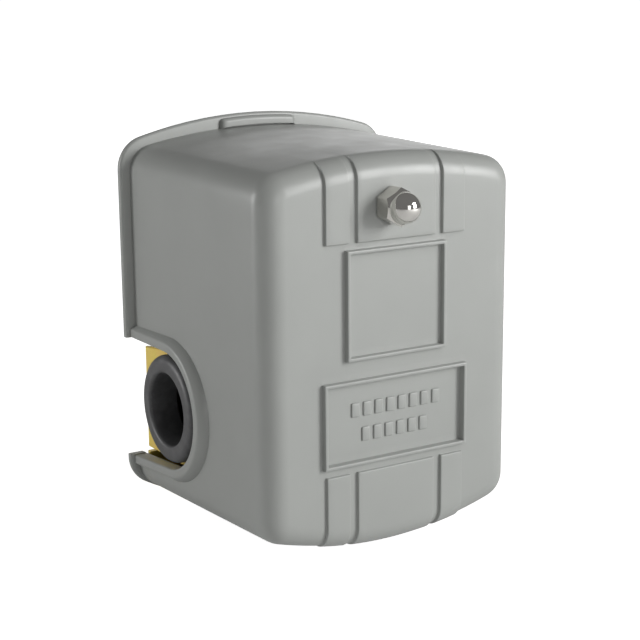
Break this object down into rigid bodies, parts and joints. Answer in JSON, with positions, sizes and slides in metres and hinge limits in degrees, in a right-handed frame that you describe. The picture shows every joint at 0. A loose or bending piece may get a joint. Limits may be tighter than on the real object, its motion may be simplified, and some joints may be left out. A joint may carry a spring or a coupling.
{
  "type": "pressure switch",
  "caption": "Pressure switch for a water pump: a moulded cover under a domed nut hides spring-loaded contacts, with a pipe port at the back and a rubber-bushed cable entry in each side.",
  "frame": {"origin": "centre of the pressure port's mouth, at the back of the switch", "axes": "+Y out of the pressure port, away from the cover; -Y out of the cover's front; +Z from the terminals to the range spring, up in this pose; X through both cable entries"},
  "size_m": [0.0808, 0.098, 0.1062],
  "materials": {
    "grey_plastic": "moulded, satin",
    "black_rubber": "smooth, slightly glossy",
    "black_phenolic": "moulded, satin",
    "tan_phenolic": "moulded, satin",
    "moulded_nylon": "moulded, satin",
    "green_paint": "green coating on steel",
    "bright_steel": "bright nickel plate",
    "zinc_yellow": "yellow-passivated zinc plate",
    "plain_zinc": "clear zinc plate",
    "spring_steel": "oiled spring wire",
    "cast_metal": "zinc-coated, satin",
    "brass": "plain"
  },
  "bodies": {
    "base": {"base_plate": "zinc_yellow", "pressure_housing": "cast_metal", "housing_screw_1": "plain_zinc", "housing_screw_2": "plain_zinc", "housing_screw_3": "plain_zinc", "housing_screw_4": "plain_zinc", "diaphragm": "black_rubber", "range_stud": "plain_zinc", "differential_stud": "plain_zinc", "lever_pin": "plain_zinc", "carrier_pin": "plain_zinc", "terminal_block": "black_phenolic", "terminal_1": "brass", "terminal_2": "brass", "terminal_3": "brass", "terminal_4": "brass", "block_screw_left": "plain_zinc", "block_screw_right": "plain_zinc", "grommet_left": "black_rubber", "grommet_right": "black_rubber", "range_spring": "spring_steel", "differential_spring": "spring_steel", "toggle_spring": "spring_steel"},
    "cover": {"cover": "grey_plastic"},
    "cap_nut": {"cap_nut": "bright_steel"},
    "lever": {"range_lever": "plain_zinc"},
    "piston": {"piston": "moulded_nylon"},
    "contact_carrier": {"contact_carrier": "tan_phenolic", "bridge_contact_left": "brass", "bridge_contact_right": "brass"},
    "range_seat": {"range_spring_seat": "plain_zinc"},
    "range_nut": {"range_nut": "plain_zinc"},
    "differential_seat": {"differential_spring_seat": "plain_zinc"},
    "differential_nut": {"differential_nut": "plain_zinc"},
    "clamp_1": {"wire_clamp_1": "plain_zinc"},
    "terminal_screw_1": {"terminal_screw_1": "plain_zinc"},
    "clamp_2": {"wire_clamp_2": "plain_zinc"},
    "terminal_screw_2": {"terminal_screw_2": "plain_zinc"},
    "clamp_3": {"wire_clamp_3": "plain_zinc"},
    "terminal_screw_3": {"terminal_screw_3": "plain_zinc"},
    "clamp_4": {"wire_clamp_4": "plain_zinc"},
    "terminal_screw_4": {"terminal_screw_4": "plain_zinc"},
    "ground_screw_left": {"ground_screw_left": "green_paint"},
    "ground_screw_right": {"ground_screw_right": "green_paint"}
  },
  "joints": [
    {"name": "cover_pull", "type": "slide", "parent": "base", "child": "cover", "axis": [0, -1, 0], "range_m": [0, 0.085]},
    {"name": "cap_nut_turn", "type": "hinge", "parent": "cover", "child": "cap_nut", "pos_m": [-0.002, -0.09, 0.0297], "axis": [0, 1, 0], "continuous": true},
    {"name": "lever_tilt", "type": "hinge", "parent": "base", "child": "lever", "pos_m": [0, -0.029, -0.018], "axis": [1, 0, 0], "range_deg": [0, 1.8], "stiffness_Nm_per_rad": 2, "springref_deg": -5.73, "deforming": ["range_spring", "differential_spring", "toggle_spring"]},
    {"name": "piston_lift", "type": "slide", "parent": "base", "child": "piston", "axis": [0, -1, 0], "range_m": [0, 0.0006]},
    {"name": "carrier_swing", "type": "hinge", "parent": "base", "child": "contact_carrier", "pos_m": [0, -0.032, -0.0375], "axis": [1, 0, 0], "range_deg": [-10, 0], "deforming": ["toggle_spring"]},
    {"name": "range_nut_turn", "type": "hinge", "parent": "range_seat", "child": "range_nut", "pos_m": [-0.002, -0.0646, 0.0297], "axis": [0, 1, 0], "range_deg": [-2160, 2160]},
    {"name": "range_seat_slide", "type": "slide", "parent": "base", "child": "range_seat", "axis": [0, 1, 0], "range_m": [-0.0048, 0.0048], "deforming": ["range_spring"]},
    {"name": "differential_nut_turn", "type": "hinge", "parent": "differential_seat", "child": "differential_nut", "pos_m": [0.016, -0.0552, 0.006], "axis": [0, 1, 0], "range_deg": [-1440, 1440]},
    {"name": "differential_seat_slide", "type": "slide", "parent": "base", "child": "differential_seat", "axis": [0, 1, 0], "range_m": [-0.0028, 0.0028], "deforming": ["differential_spring"]},
    {"name": "clamp_1_slide", "type": "slide", "parent": "base", "child": "clamp_1", "axis": [0, -1, 0], "range_m": [0, 0.0018]},
    {"name": "terminal_screw_1_turn", "type": "hinge", "parent": "clamp_1", "child": "terminal_screw_1", "pos_m": [-0.01957, -0.0455, -0.034], "axis": [0, -1, 0], "range_deg": [0, 1080]},
    {"name": "clamp_2_slide", "type": "slide", "parent": "base", "child": "clamp_2", "axis": [0, -1, 0], "range_m": [0, 0.0018]},
    {"name": "terminal_screw_2_turn", "type": "hinge", "parent": "clamp_2", "child": "terminal_screw_2", "pos_m": [-0.00653, -0.0455, -0.034], "axis": [0, -1, 0], "range_deg": [0, 1080]},
    {"name": "clamp_3_slide", "type": "slide", "parent": "base", "child": "clamp_3", "axis": [0, -1, 0], "range_m": [0, 0.0018]},
    {"name": "terminal_screw_3_turn", "type": "hinge", "parent": "clamp_3", "child": "terminal_screw_3", "pos_m": [0.00653, -0.0455, -0.034], "axis": [0, -1, 0], "range_deg": [0, 1080]},
    {"name": "clamp_4_slide", "type": "slide", "parent": "base", "child": "clamp_4", "axis": [0, -1, 0], "range_m": [0, 0.0018]},
    {"name": "terminal_screw_4_turn", "type": "hinge", "parent": "clamp_4", "child": "terminal_screw_4", "pos_m": [0.01957, -0.0455, -0.034], "axis": [0, -1, 0], "range_deg": [0, 1080]},
    {"name": "ground_screw_left_turn", "type": "hinge", "parent": "base", "child": "ground_screw_left", "pos_m": [-0.0285, -0.025, 0.006], "axis": [0, -1, 0], "range_deg": [0, 1080]},
    {"name": "ground_screw_right_turn", "type": "hinge", "parent": "base", "child": "ground_screw_right", "pos_m": [0.0285, -0.025, 0.006], "axis": [0, -1, 0], "range_deg": [0, 1080]}
  ],
  "couplings": [
    {"joint": "piston_lift", "follows": "lever_tilt", "m_per_rad": 0.018},
    {"joint": "carrier_swing", "follows": "lever_tilt", "ratio": -5.5},
    {"joint": "range_nut_turn", "follows": "range_seat_slide", "rad_per_m": 7853.9},
    {"joint": "differential_nut_turn", "follows": "differential_seat_slide", "rad_per_m": 8975.9},
    {"joint": "terminal_screw_1_turn", "follows": "clamp_1_slide", "rad_per_m": 10472},
    {"joint": "terminal_screw_2_turn", "follows": "clamp_2_slide", "rad_per_m": 10472},
    {"joint": "terminal_screw_3_turn", "follows": "clamp_3_slide", "rad_per_m": 10472},
    {"joint": "terminal_screw_4_turn", "follows": "clamp_4_slide", "rad_per_m": 10472}
  ]
}
